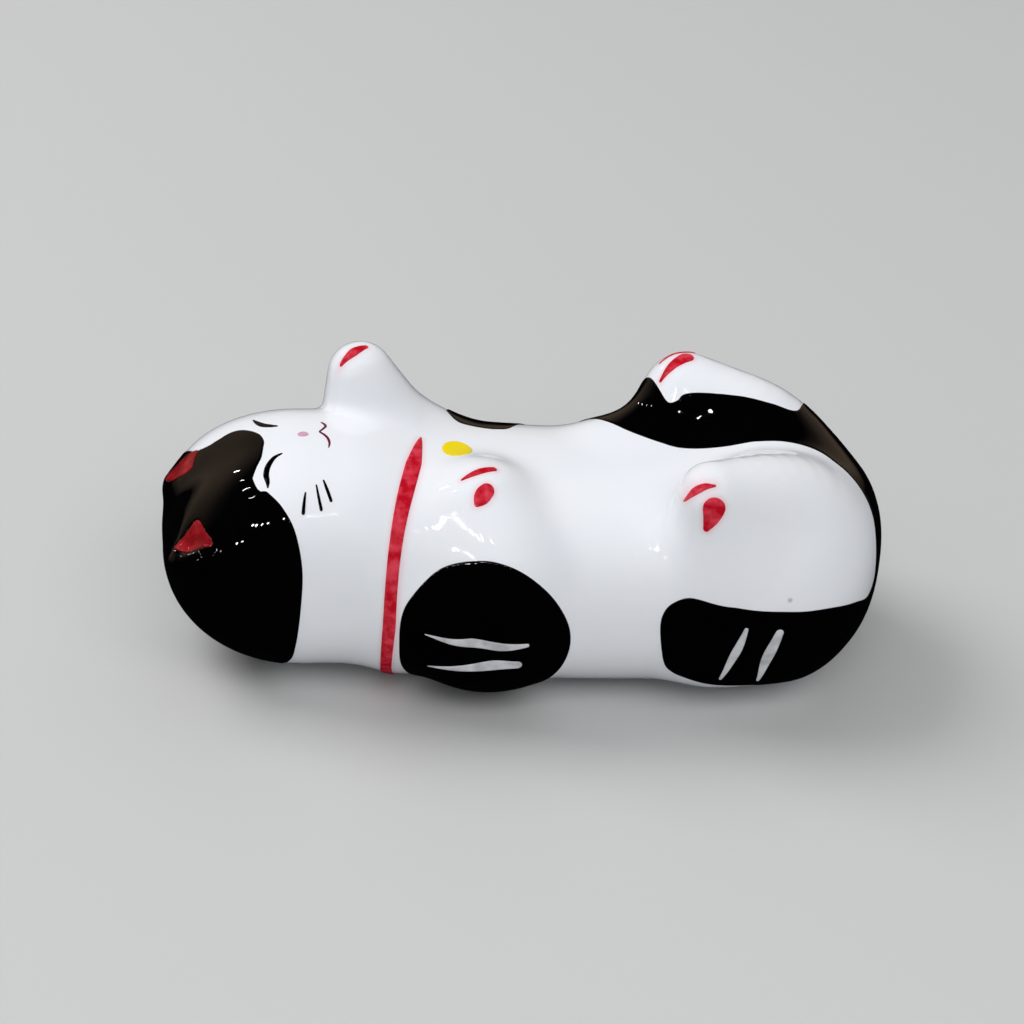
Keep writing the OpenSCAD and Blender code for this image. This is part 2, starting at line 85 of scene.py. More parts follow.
class RestLimbs(bpy.types.PropertyGroup):
    elbow_radius: length("Elbow radius", "Radius of the forelegs at the elbow", 4.1)
    forearm_radius: length("Forearm radius", "Radius of the forelegs below the elbow", 4.6)
    folded_paw_radius: length("Folded paw radius", "Radius of the paw on the chest", 4.6)
    raised_elbow_radius: length("Raised elbow radius", "Elbow of the raised foreleg", 4.7)
    raised_shoulder_radius: length("Raised shoulder radius", "Root of the raised foreleg", 5.6)
    raised_forearm_radius: length("Raised forearm radius", "Foreleg below the raised paw", 4.85)
    raised_paw_radius: length("Raised paw radius", "Radius of the raised paw", 2.9)
    raised_paw_height: length("Raised paw height", "Height of the tip of the raised paw", 24.6)
    thigh_radius: length("Thigh radius", "Radius of the thighs beside the groin", 5.4)
    haunch_radius: length("Haunch radius", "Radius of the haunches", 6.0)
    hip_radius: length("Hip radius", "Radius of the hips, low on the flanks", 4.15)
    knee_radius: length("Knee radius", "Radius of the knees", 3.8)
    web_radius: length("Web radius", "Web from the belly up to a hind foot", 2.7)
    foot_radius: length("Foot radius", "Radius of the hind feet", 3.6)
    foot_height: length("Foot height", "Height of the tips of the hind feet", 23.7)
    ear_rim_radius: length("Ear rim radius", "Radius of the rim of the ears", 0.8)
    ear_root_radius: length("Ear root radius", "Radius of the root of the ears", 1.7)
    ear_offset: length("Ear offset", "Shift of both ears to the cat's right", 1.0)
    limb_blend: length("Limb blend", "Width over which a limb flows into the body", 2.4)
    ear_blend: length("Ear blend", "Width over which an ear flows into the head", 1.0)
    leg_blend: length("Leg blend", "Width over which a hind leg flows into the body", 3.2)
    groin_blend: length("Groin blend", "Width of the fillet round the web to the left leg", 4.0)
    blend_swell: length("Blend swell", "Radius that the blending adds to a foreleg", 0.25)
    leg_swell: length("Leg swell", "Radius that the blending adds to a hind leg", 0.7)


class RestEnamels(bpy.types.PropertyGroup):
    thickness: length("Enamel thickness", "Thickness of one layer of enamel", 0.08)
    edge: length("Enamel edge", "Width over which the edge of the enamel rounds down", 0.16)
    foot: length("Bare foot", "Height above the table at which the enamels end", 0.8)
    collar_width: length("Collar width", "Width of the painted collar", 1.25)
    nose_width: length("Nose width", "Width of the painted nose", 0.9)
    bell_diameter: length("Bell diameter", "Width of the painted bell", 2.5)


class RestMesh(bpy.types.PropertyGroup):
    cell: length("Cell", "Spacing of the grid that the body is drawn out of", 0.5)
    softening: bpy.props.IntProperty(name="Softening", default=10,
                                     description="Rounds in which the glaze softens the creases")


GROUPS = {"rest_body": RestBody, "rest_limbs": RestLimbs, "rest_enamels": RestEnamels,
          "rest_mesh": RestMesh}


# Curves

def between(a, b, c, d, t):
    """Catmull-Rom point between b and c."""
    return (2 * b + (c - a) * t + (2 * a - 5 * b + 4 * c - d) * t ** 2
            + (3 * b - a - 3 * c + d) * t ** 3) / 2


def curve(points, steps, closed=False):
    """Rows along a smooth line through points, or along a loop."""
    p = np.asarray(points, float)
    ends = np.vstack([p[-1:], p, p[:2]] if closed else [p[:1], p, p[-1:]])
    rows = [between(*ends[i:i + 4], s / steps) for i in range(len(ends) - 3) for s in range(steps)]
    return np.array(rows if closed else rows + [p[-1]])


# Signed distances: negative inside a form

def smooth_union(a, b, width):
    """Union of two forms, with a fillet of about this width where they meet."""
    h = np.maximum(width - np.abs(a - b), 0) / np.maximum(width, 1e-9)
    return np.minimum(a, b) - h * h * width / 4


def cone_distance(p, a, b, ra, rb):
    """Distance to a round cone between two balls."""
    ab = b - a
    t = np.clip(((p - a) @ ab) / (ab @ ab), 0, 1)
    return np.linalg.norm(p - a - t[:, None] * ab, axis=1) - (ra + t * (rb - ra))


# Fields are cut off at this distance
FAR = 8 * MM


def near_path(p, path):
    """Which points lie near enough to a path of x, y, z, radius to be shaped by it."""
    margin = path[:, -1].max() + FAR / 2
    size = path.shape[1] - 1
    return ((p > path[:, :size].min(axis=0) - margin)
            & (p < path[:, :size].max(axis=0) + margin)).all(axis=1)


def cones_distance(p, path, pairs):
    """Distance to the union of round cones between pairs of rows of a path."""
    near = near_path(p, path)
    q = p[near]
    best = np.full(len(q), FAR)
    for a, b in pairs:
        best = np.minimum(best, cone_distance(q, a[:-1], b[:-1], a[-1], b[-1]))
    d = np.full(len(p), FAR)
    d[near] = best
    return d


def chain_distance(p, stations, steps=10):
    """Distance to a coil of clay through rows of x, y, z, radius."""
    path = curve(stations, steps)
    return cones_distance(p, path, zip(path[:-1], path[1:]))


def fan_distance(p, rim, root):
    """Distance to the full form between a rim and a root: one round cone from each row of the rim."""
    pairs = [*zip(rim[:-1], rim[1:]), *((a, root) for a in rim)]
    return cones_distance(p, np.vstack([rim, root]), pairs)


def outline_distance(q, outline):
    """Distance of plane points to a closed outline, positive inside it."""
    near = ((q > outline.min(axis=0) - FAR) & (q < outline.max(axis=0) + FAR)).all(axis=1)
    r = q[near]
    best = np.full(len(r), FAR)
    inside = np.zeros(len(r), bool)
    for s, e in zip(outline, np.roll(outline, -1, axis=0)):
        w = e - s
        v = r - s
        t = np.clip((v @ w) / max(w @ w, 1e-18), 0, 1)
        best = np.minimum(best, np.linalg.norm(v - t[:, None] * w, axis=1))
        with np.errstate(divide="ignore", invalid="ignore"):
            cross = (s[1] > r[:, 1]) != (e[1] > r[:, 1])
            inside ^= cross & (r[:, 0] < s[0] + (r[:, 1] - s[1]) * w[0] / w[1])
    d = np.full(len(q), -FAR)
    d[near] = np.where(inside, best, -best)
    return d


def stroke_distance(q, points, widths, steps=6):
    """Distance of plane points to a brush stroke, positive inside it."""
    return -chain_distance(q, np.column_stack([points, np.asarray(widths) / 2]), steps)


class Form:
    """The modelled cat: one field whose zero level is the surface of the clay."""

    # Shares of the torso's length between which the waist keeps its section
    WAIST = (0.28, 0.5)
    # Squareness of the ends: plan on the right, plan on the left, profile
    CROWN_FULLNESS, RUMP_FULLNESS = (2.3, 3.4, 1.75), (2.3, 2.3, 2.5)
    # Share of the blend that is left where the raised foreleg meets the face
    FACE_CORNER = 0.2
    PROFILE_STEPS, LEG_STEPS, EAR_STEPS = 24, 8, 16
    RAYS, HALVINGS = 720, 40

    def __init__(self, body, limbs):
        self.body, self.limbs = body, limbs
        b = body
        half = (b.head_length + b.torso_length) / 2
        self.crown_x, self.rump_x = -half, half
        self.neck_x = self.crown_x + b.head_length
        self.cheek_x = self.crown_x + b.crown_round
        self.rump_start = self.rump_x - b.rump_round
        self.skew = b.seam_lead / b.neck_width
        self.profile = self.make_profile()
        self.crown_rays = self.ray_table(b.head_width / 2, b.head_lift, b.head_height,
                                         b.crown_height)
        self.rump_rays = self.ray_table(b.hip_width / 2, -b.base_cut, b.groin_height,
                                        b.rump_height)
        self.make_limbs()

    def make_profile(self):
        """Columns of x, half width, bottom, top and skew along the body."""
        b = self.body
        cheeks = (b.head_width / 2, b.head_lift, b.head_height)
        seam = (self.neck_x, b.neck_width / 2, -b.base_cut, b.throat_height, self.skew)
        waist = (b.waist_width / 2, -b.base_cut, b.belly_height, 0)
        face = [(self.cheek_x, *cheeks, 0),
                ((self.cheek_x + self.neck_x) / 2, *cheeks, self.skew / 3), seam]
        trunk = [seam, *((self.neck_x + b.torso_length * share, *waist) for share in self.WAIST),
                 (self.rump_start, b.hip_width / 2, -b.base_cut, b.groin_height, 0)]
        rows = np.vstack([curve(face, self.PROFILE_STEPS), curve(trunk, self.PROFILE_STEPS)[1:]])
        return rows.T

    def ray_table(self, half_width, bottom, top, tip):
        """Distance from the line of the tip to a full section, in each direction."""
        angles = np.linspace(-math.pi, math.pi, self.RAYS + 1)
        middle, half = (top + bottom) / 2, (top - bottom) / 2
        near, far = np.zeros(len(angles)), np.full(len(angles), 2 * half_width)
        for _ in range(self.HALVINGS):
            r = (near + far) / 2
            y, z = r * np.cos(angles), tip + r * np.sin(angles) - middle
            outside = ((np.abs(y) / half_width) ** self.body.fullness
                       + (np.abs(z) / half) ** self.body.fullness) > 1
            far, near = np.where(outside, r, far), np.where(outside, near, r)
        return angles, near

    def end_distance(self, along, y, z, tip, rays, fullness, scale):
        """Field of a rounded end, whose plan and profile each have their own fullness."""
        angle = np.arctan2(z - tip, y)
        share = np.hypot(y, z - tip) / np.interp(angle, *rays)
        plan = np.interp(np.cos(angle), (-1, 1), fullness[:2])
        power = plan * np.cos(angle) ** 2 + fullness[2] * np.sin(angle) ** 2
        return ((share ** power + np.clip(along, 0, None) ** power) ** (1 / power) - 1) * scale

    def station(self, p):
        """X of the section that each point lies in."""
        xs = p[:, X]
        for _ in range(3):
            xs = p[:, X] - np.interp(xs, self.profile[0], self.profile[4]) * p[:, Y]
        return xs

    def trunk_distance(self, p):
        b = self.body
        xs = self.station(p)
        width, bottom, top = (np.interp(xs, self.profile[0], self.profile[k]) for k in (1, 2, 3))
        y, z = p[:, Y], p[:, Z]
        middle, half = (top + bottom) / 2, (top - bottom) / 2
        share = ((np.abs(y) / width) ** b.fullness
                 + (np.abs(z - middle) / half) ** b.fullness) ** (1 / b.fullness)
        d = (share - 1) * half
        crown = ((self.cheek_x - p[:, X]) / b.crown_round, b.crown_height, self.crown_rays,
                 self.CROWN_FULLNESS)
        rump = ((p[:, X] - self.rump_start) / b.rump_round, b.rump_height, self.rump_rays,
                self.RUMP_FULLNESS)
        for along, tip, rays, fullness in (crown, rump):
            end = along > 0
            d[end] = self.end_distance(along[end], y[end], z[end], tip, rays, fullness, half[end])
        return d

    def balls(self, part, rows):
        """Rows of x, y, z and radius, from rows whose places are shares of a part of the body."""
        start, long, wide, high = part
        return np.array([(start + long * x, wide / 2 * y, high * z, radius)
                         for x, y, z, radius in rows])

    def make_limbs(self):
        """Rows of balls that the limbs run through."""
        b, m = self.body, self.limbs
        head = (self.crown_x, b.head_length, b.head_width, b.head_height)
        torso = (self.neck_x, b.torso_length, b.waist_width, b.belly_height)
        hips = (self.neck_x, b.torso_length, b.hip_width, b.groin_height)
        raised = (m.raised_paw_height - m.raised_paw_radius) / b.belly_height
        foot = (m.foot_height - m.foot_radius) / b.groin_height
        self.folded = self.balls(torso, [
            (0.03, 0.68, 0.49, m.elbow_radius), (0.12, 0.75, 0.32, m.elbow_radius),
            (0.2, 0.75, 0.36, m.elbow_radius), (0.185, 0.79, 0.65, m.forearm_radius),
            (0.125, 0.415, 0.865, m.folded_paw_radius)])
        self.raised = self.balls(torso, [
            (0.15, 0.7, 0.43, m.raised_elbow_radius), (0.01, 0.61, 0.68, m.raised_shoulder_radius),
            (-0.065, 0.61, 0.88, m.raised_forearm_radius),
            (-0.112, 0.62, raised, m.raised_paw_radius)])
        leg = self.balls(hips, [
            (0.77, 0.6, 0.345, m.hip_radius), (0.617, 0.715, 0.315, m.knee_radius),
            (0.617, 0.765, 0.645, m.knee_radius), (0.592, 0.71, foot, m.foot_radius)])
        # The right thigh, and the left one, which lies a little higher
        self.leg_rims = []
        for thigh in ((0.77, 0.43, 0.84, m.thigh_radius), (0.755, 0.49, 0.855, m.thigh_radius)):
            haunch = self.balls(hips, [
                (0.592, 0.71, foot, m.foot_radius), thigh,
                (0.75, 0.565, 0.57, m.haunch_radius), (0.77, 0.6, 0.345, m.hip_radius)])
            self.leg_rims.append(np.vstack([curve(leg, self.LEG_STEPS),
                                             curve(haunch, self.LEG_STEPS)[1:]]))
        self.calf = self.balls(hips, [(0.69, 0.6, 0.53, m.haunch_radius)])[0]
        self.web = self.balls(hips, [
            (0.44, 0.42, 0.79, m.web_radius), (0.515, 0.52, 0.86, m.web_radius),
            (0.575, 0.66, 0.94, m.web_radius)])
        rim = self.balls(head, [
            (0.11, 0.3, 0.655, m.ear_rim_radius), (0.045, 0.54, 0.595, m.ear_rim_radius),
            (0.145, 0.65, 0.65, m.ear_rim_radius)])
        self.ear_rim = curve(rim, self.EAR_STEPS)
        self.ear_root = self.balls(head, [(0.18, 0.48, 0.5, m.ear_root_radius)])[0]

    def distance(self, p):
        """Field of the whole cat."""
        m = self.limbs
        mirrored = p * MIRROR
        d = self.trunk_distance(p)
        swell = m.blend_swell
        d = smooth_union(d, chain_distance(mirrored, self.folded) + swell, m.limb_blend)
        corner = np.interp(p[:, X], (self.raised[-1][X] - m.raised_paw_radius, self.neck_x),
                           (self.FACE_CORNER, 1))
        d = smooth_union(d, chain_distance(p, self.raised) + swell * corner, m.limb_blend * corner)
        for side, rim in zip((mirrored, p), self.leg_rims):
            d = smooth_union(d, fan_distance(side, rim, self.calf) + m.leg_swell, m.leg_blend)
        d = smooth_union(d, chain_distance(p, self.web) + swell, m.groin_blend)
        shift = np.array([0, m.ear_offset, 0])
        for side in (p + shift, (p + shift) * MIRROR):
            d = smooth_union(d, fan_distance(side, self.ear_rim, self.ear_root), m.ear_blend)
        return np.maximum(d, -p[:, Z])

    def slope(self, p):
        """Gradient of the field, which points outward."""
        reach = 0.02 * MM
        return np.column_stack([self.distance(p + reach * axis) - self.distance(p - reach * axis)
                                for axis in np.eye(3)]) / (2 * reach)

    def settle(self, p, rounds=3):
        """Points moved onto the surface, in steps that are kept short."""
        longest = 0.3 * MM
        for _ in range(rounds):
            g = self.slope(p)
            step = self.distance(p)[:, None] * g / np.maximum((g * g).sum(1), 1e-6)[:, None]
            size = np.linalg.norm(step, axis=1)[:, None]
            p = p - step * np.minimum(1, longest / np.maximum(size, 1e-12))
        return p


def surface_net(field, low, high, cell):
    """Quads on the zero level of a field that is negative inside."""
    counts = [int(math.ceil((high[k] - low[k]) / cell)) + 1 for k in range(3)]
    axes = [low[k] + cell * np.arange(counts[k]) for k in range(3)]
    grid = np.stack(np.meshgrid(*axes, indexing="ij"), axis=-1).reshape(-1, 3)
    values = field(grid).reshape(counts)
    total = np.zeros((*counts, 3))
    hits = np.zeros(counts)
    crossings = []
    for axis in range(3):
        u, v = (axis + 1) % 3, (axis + 2) % 3
        a = values.take(range(counts[axis] - 1), axis)
        b = values.take(range(1, counts[axis]), axis)
        index = np.argwhere((a < 0) != (b < 0))
        at = tuple(index.T)
        point = index.astype(float)
        point[:, axis] += a[at] / (a[at] - b[at])
        corners = []
        for du, dv in ((-1, -1), (0, -1), (0, 0), (-1, 0)):
            c = index.copy()
            c[:, u] += du
            c[:, v] += dv
            np.add.at(total, tuple(c.T), point)
            np.add.at(hits, tuple(c.T), 1)
            corners.append(c)
        crossings.append((corners, a[at] > 0))
    used = hits > 0
    number_of = np.cumsum(used.ravel()).reshape(counts) - 1
    points = np.asarray(low) + cell * total[used] / hits[used][:, None]
    quads = []
    for corners, turned in crossings:
        q = np.column_stack([number_of[tuple(c.T)] for c in corners])
        q[turned] = q[turned][:, ::-1]
        quads.append(q)
    return points, np.vstack(quads)


def edges_of(faces):
    """The two points of each side of each face, the lower number first."""
    n = faces.shape[1]
    return np.sort(np.vstack([faces[:, [k, (k + 1) % n]] for k in range(n)]), axis=1)


def split_quads(points, quads):
    """Each quad divided in four."""
    unique, back = np.unique(edges_of(quads), axis=0, return_inverse=True)
    back = back.reshape(4, -1).T + len(points)
    middles = points[unique].mean(axis=1)
    centres = points[quads].mean(axis=1)
    centre = np.arange(len(quads)) + len(points) + len(middles)
    rows = [np.column_stack([quads[:, k], back[:, k], centre, back[:, k - 1]]) for k in range(4)]
    return np.vstack([points, middles, centres]), np.vstack(rows)


def compact(points, faces, *extra):
    """Points and faces without the points that no face uses."""
    used = np.unique(faces)
    renumber = np.full(len(points), -1)
    renumber[used] = np.arange(len(used))
    return (points[used], renumber[faces], *(e[used] for e in extra))


def split_triangles(points, faces, normals):
    """Each triangle divided in four, with the new points lifted onto the round surface."""
    unique, back = np.unique(edges_of(faces), axis=0, return_inverse=True)
    back = back.reshape(3, -1).T + len(points)
    a, b, c = faces.T
    ab, bc, ca = back.T
    rows = [(a, ab, ca), (ab, b, bc), (ca, bc, c), (ab, bc, ca)]
    middles = points[unique].mean(axis=1)
    lift = 0
    for end in unique.T:
        depth = ((middles - points[end]) * normals[end]).sum(axis=1)
        lift = lift - depth[:, None] * normals[end] / 4
    fresh = unit(normals[unique].mean(axis=1))
    return (np.vstack([points, middles + lift]), np.vstack([np.column_stack(r) for r in rows]),
            np.vstack([normals, fresh]))


def cut_at(points, faces, level, normals):
    """Triangles split along the line where the level is zero. Gives back all four, with levels
    that are exactly zero on the line."""
    level = np.where(np.abs(level) < 1e-9, 0.0, level)
    sign = np.sign(level).astype(int)
    edges = np.unique(edges_of(faces), axis=0)
    edges = edges[sign[edges[:, 0]] * sign[edges[:, 1]] < 0]
    key = edges[:, 0] * len(points) + edges[:, 1]
    a, b = level[edges[:, 0]], level[edges[:, 1]]
    t = (a / (a - b))[:, None]
    fresh, turned = (rows[edges[:, 0]] * (1 - t) + rows[edges[:, 1]] * t for rows in (points, normals))

    def crossing(i, j):
        low, high = np.minimum(i, j), np.maximum(i, j)
        return len(points) + np.searchsorted(key, low * len(points) + high)

    kept = [faces[np.abs(sign[faces].sum(axis=1)) == np.abs(sign[faces]).sum(axis=1)]]
    for k in range(3):
        f = np.roll(faces, -k, axis=1)
        s = sign[f]
        v = f[(s[:, 0] * s[:, 1] < 0) & (s[:, 0] * s[:, 2] < 0)].T
        ab, ca = crossing(v[0], v[1]), crossing(v[2], v[0])
        kept += [np.column_stack(t) for t in ((v[0], ab, ca), (ab, v[1], v[2]), (ab, v[2], ca))]
        v = f[(s[:, 0] == 0) & (s[:, 1] * s[:, 2] < 0)].T
        bc = crossing(v[1], v[2])
        kept += [np.column_stack(t) for t in ((v[0], v[1], bc), (v[0], bc, v[2]))]
    return (np.vstack([points, fresh]), np.vstack(kept), np.append(level, np.zeros(len(fresh))),
            np.vstack([normals, turned]))


def make_object(name, points, faces, material):
    """A new smooth mesh object at the origin."""
    mesh = bpy.data.meshes.new(name)
    mesh.from_pydata(points.tolist(), [], faces.tolist())
    mesh.validate()
    mesh.shade_smooth()
    mesh.materials.append(material)
    thing = bpy.data.objects.new(name, mesh)
    bpy.context.scene.collection.objects.link(thing)
    return thing


def unit(rows):
    return rows / np.linalg.norm(rows, axis=1)[:, None]


def point_normals(points, quads):
    """Outward normals of a mesh of quads, at its points."""
    a, b, c, d = (points[quads[:, k]] for k in range(4))
    flat = np.cross(c - a, d - b)
    total = np.zeros_like(points)
    for k in range(4):
        for axis in range(3):
            total[:, axis] += np.bincount(quads[:, k], flat[:, axis], len(points))
    return unit(total)


# Points below this height lie on the flat underside
GROUND = 0.02 * MM


def relax(points, quads, rounds):
    """Mesh with its creases softened, as glaze does. The flat underside stays as it is."""
    a, b = np.unique(edges_of(quads), axis=0).T
    count = np.bincount(np.append(a, b), minlength=len(points))
    raised = points[:, Z] > GROUND
    for _ in range(rounds):
        total = np.column_stack([
            np.bincount(a, points[b, k], len(points)) + np.bincount(b, points[a, k], len(points))
            for k in range(3)])
        middle = total / count[:, None]
        points = np.where(raised[:, None], (points + middle) / 2, points)
    return points


class Surface:
    """The clay's surface as fine triangles, from which the enamels are cut."""

    # Half the width and the height of the grid, which hold the cat
    HALF_WIDTH, HEIGHT = 15.5 * MM, 26 * MM

    def __init__(self, form, cell, rounds):
        self.form = form
        margin = 1.5 * cell
        half = form.rump_x + margin
        low = (-half, -self.HALF_WIDTH, -margin)
        high = (half, self.HALF_WIDTH, self.HEIGHT)
        points, quads = surface_net(form.distance, low, high, cell)
        points = form.settle(points)
        points, quads = split_quads(points, quads)
        self.points = relax(form.settle(points, 2), quads, rounds)
        self.quads = quads
        self.faces = np.vstack([quads[:, [0, 1, 2]], quads[:, [0, 2, 3]]])
        self.normals = point_normals(self.points, quads)
        self.cell = cell

    def patch(self, inside, splits):
        """Points, triangles and normals near an outline and within it, split so many times."""
        points, faces, normals = self.points, self.faces, self.normals
        for k in range(splits + 1):
            if k:
                points, faces, normals = split_triangles(points, faces, normals)
            near = faces[inside(points)[faces].max(axis=1) > -self.cell / 2]
            points, faces, normals = compact(points, near, normals)
        return points, faces, normals


def sizes():
    """Sizes of the enamels."""
    return bpy.context.scene.rest_enamels


SURFACE = {}


def surface():
    """The surface of the clay, made once."""
    if not SURFACE:
        scene = bpy.context.scene
        mesh = scene.rest_mesh
        SURFACE["clay"] = Surface(Form(scene.rest_body, scene.rest_limbs), mesh.cell, mesh.softening)
    return SURFACE["clay"]


# Rings of points across the rounded edge of an enamel, as shares of the edge's width
EDGE_RINGS = (0.15, 0.45, 1)
# The widest edge of a narrow mark, as a share of half its width, and the least of those halves
NARROW_EDGE, LEAST_HALF = 0.9, 0.02 * MM
# Where the next layer starts and how deep a layer is sunk, as shares of the thickness
NEXT_LAYER, SUNK = 0.95, 0.4


def enamel(name, inside, paint, splits=2, layer=0, nodes=()):
    """Closed skin of enamel inside an outline, with a rounded edge. It stands for the CAD node of
    its name, or for the nodes that are given."""
    thickness = sizes().thickness
    points, faces, normals = surface().patch(inside, splits)
    level = inside(points)
    edge = min(sizes().edge, NARROW_EDGE * max(level.max(), LEAST_HALF))
    points, faces, level, normals = cut_at(points, faces, level, normals)
    faces = faces[level[faces].min(axis=1) >= -1e-9]
    points, faces, level, normals = compact(points, faces, level, normals)
    for share in EDGE_RINGS:
        points, faces, rest, normals = cut_at(points, faces, level - share * edge, normals)
        level = rest + share * edge
    rise = np.sqrt(np.clip(1 - (1 - np.clip(level / edge, 0, 1)) ** 2, 0, 1))
    rim = level <= 1e-9
    normals = unit(normals)
    base = layer * thickness * NEXT_LAYER
    top = points + normals * (base + rise * thickness)[:, None]
    sunk = points + normals * (base - np.where(rim, 0, SUNK * thickness))[:, None]
    under = np.where(rim, np.arange(len(points)), np.cumsum(~rim) - 1 + len(points))
    closed = np.vstack([faces, under[faces][:, ::-1]])
    piece = make_object(name if nodes else name + "_enamel", np.vstack([top, sunk[~rim]]), closed,
                        materials()[paint])
    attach(piece, "root")
    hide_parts(*(nodes or (name,)))


# Outlines, in millimetres

def mm(rows):
    return np.array(rows, float) * MM


def from_above(p, height):
    """Plane points seen from above, and how far each lies over a height."""
    return p[:, [X, Y]], p[:, Z] - height * MM


def from_side(p, side, start=3):
    """Plane points seen from the left (1) or the right (-1) side."""
    return p[:, [X, Z]], p[:, Y] * side - start * MM


def within(q, outline, steps=8):
    """Distance of plane points to an outline in millimetres, positive inside it."""
    return outline_distance(q, curve(mm(outline), steps, closed=True))


def drawn(view, outline):
    """Distance to a closed outline on the side that is seen, positive inside it."""
    q, depth = view
    return np.minimum(within(q, outline), depth)


def brushed(view, strokes):
    """Strokes are pairs of points and widths."""
    q, depth = view
    best = np.max([stroke_distance(q, mm(points), mm(widths)) for points, widths in strokes], axis=0)
    return np.minimum(best, depth)


def oval(view, centre, width, height):
    q, depth = view
    r = np.hypot((q[:, 0] - centre[0] * MM) / (width / 2), (q[:, 1] - centre[1] * MM) / (height / 2))
    return np.minimum((1 - r) * min(width, height) / 2, depth)


# Heights above which marks are drawn from above: the chest and the face, the forehead and the
# whiskers, the ears, and the left hind leg
TOP, FACE, EARS, LEG = 12, 9.5, 11.5, 12.5
# Distances from the middle from which marks are drawn from the side: the head and the hind foot
HEAD_START, FOOT_START = 0.5, 8.5

FOREHEAD = [(-23.3, -5.0), (-23.1, -4.3), (-22.7, -3.1), (-22.3, -2.1), (-22.1, -0.8), (-22.0, 0.2),
            (-22.3, 1.4), (-23.0, 2.5), (-23.8, 3.3), (-24.6, 3.6), (-25.5, 3.5), (-26.4, 3.5),
            (-27.3, 4.1), (-27.9, 5.4), (-28.4, 7.6), (-29.5, 9.2), (-32, 9), (-33, 0), (-32, -7),
            (-26, -8.5), (-23.9, -7.5)]
HEAD_SIDE = [(-23.1, 18.6), (-21.9, 18.4), (-20.7, 17.8), (-19.7, 16.4), (-19.1, 13.7), (-19.1, 10.1),
             (-19.3, 6.2), (-19.6, 3.7), (-20.8, 1), (-23, -1.5), (-28, -3), (-33, 0), (-34, 12),
             (-32, 22), (-26, 22)]
RIGHT_EYE = ([(-20.7, -2.3), (-21.3, -2.6), (-21.8, -3.4), (-22.0, -4.3), (-21.9, -5.1), (-21.9, -5.6)],
             [0.2, 0.4, 0.5, 0.48, 0.35, 0.15])
LEFT_EYE = ([(-22.7, 4.3), (-22.4, 3.5), (-22.0, 2.8), (-21.5, 2.35), (-20.9, 2.0)],
            [0.15, 0.4, 0.5, 0.45, 0.2])
MOUTH = ([(-17.25, 2.0), (-17.0, 1.65), (-16.95, 1.25), (-17.25, 0.75), (-17.45, 0.4), (-17.15, 0),
          (-16.85, -0.6), (-16.75, -1.3), (-16.85, -1.9)],
         [0.12, 0.24, 0.22, 0.18, 0.18, 0.22, 0.24, 0.2, 0.1])
WHISKERS = [([(-18.9, 6.5), (-19.0, 7.1), (-19.1, 7.9)], [0.14, 0.24, 0.3]),
            ([(-18.0, 5.9), (-17.85, 6.8), (-17.65, 7.7)], [0.14, 0.22, 0.26]),
            ([(-17.4, 5.5), (-17.15, 6.25), (-16.85, 7.1)], [0.16, 0.26, 0.26])]
# The left whiskers start so much lower, away from the nose
WHISKER_DROP = 1.0
RIGHT_LINING = [(-27.5, -4.9), (-26.9, -6.2), (-26.3, -7.6), (-27.8, -7.2), (-29.3, -6.1), (-28.5, -5.4)]
LEFT_LINING = [(-27.9, 2.2), (-27.5, 3.0), (-27.2, 4.0), (-28.2, 4.8), (-29.7, 5.0), (-29.3, 3.2)]
SHOULDER = [(-11, 7.5), (-10.9, 10.5), (-9.8, 12.5), (-8, 14.1), (-5.7, 15.3), (-3.6, 15.7),
            (-1.3, 15.0), (0.9, 13.1), (2.5, 10.4), (3.0, 8.0), (2.6, 5.5), (1.6, 3.4), (0, 1.4),
            (-4, 0.2), (-8.3, 1.2), (-10.4, 4)]
LEFT_SHOULDER = [(-8, 4), (-7.6, 12), (-7.1, 16.8), (-6.2, 18.2), (-4.5, 18.28), (-2.4, 18.2),
                 (-0.8, 17.7), (1, 15.5), (2.4, 12), (3.1, 8), (2, 3.4), (-1, 0.8), (-5, 0.6)]
SHOULDER_STROKES = [([(-9.0, 8.9), (-6.4, 8.3), (-3.4, 8.4), (-0.8, 8.8)], [0.1, 0.6, 0.95, 0.4]),
                    ([(-8.5, 5.45), (-6.2, 5.8), (-3.4, 6.3), (-1.4, 6.5)], [0.1, 0.55, 0.95, 0.85])]
HIP_SIDE = [(10.9, 6.0), (10.3, 9.3), (10.5, 11.0), (11.4, 12.1), (12.8, 12.7), (15.6, 12.2),
            (18.1, 11.9), (21.1, 11.7), (24.2, 11.4), (26.7, 10.6), (28.3, 9.8), (29.0, 11.3),
            (29.1, 14), (31, 16), (33, 8), (30, 2), (22, 2.6), (15.7, 3.4), (13.0, 4.2), (11.7, 4.8)]
GROIN = [(4.5, 9.6), (6.1, 6.5), (7.5, 4.5), (8.9, 3.2), (11.1, 2.0), (13.2, 1.1), (17.4, 0.6),
         (23.6, 0.5), (25.6, -0.7), (27.3, -2.3), (28.5, -4.1), (29.1, -6.5), (31, -7.5), (34, 0),
         (30, 14), (20, 17), (8, 16), (5.2, 13.5)]
LEFT_LEG_WHITE = [(10.4, 9.4), (10.9, 7.6), (11.4, 6.2), (12.0, 5.2), (12.8, 5.1), (13.5, 5.3),
                  (17, 4.85), (20.4, 4.3), (22.6, 4.3), (23.5, 5.8), (24, 8), (24, 12), (20, 16),
                  (11, 16), (9.8, 12)]
HIP_STROKES = [([(15.75, 4.6), (16.6, 7.5), (17.2, 10.2)], [0.3, 0.8, 0.35]),
               ([(19.0, 4.1), (19.4, 7.3), (20.0, 9.8)], [0.3, 1.0, 0.7])]
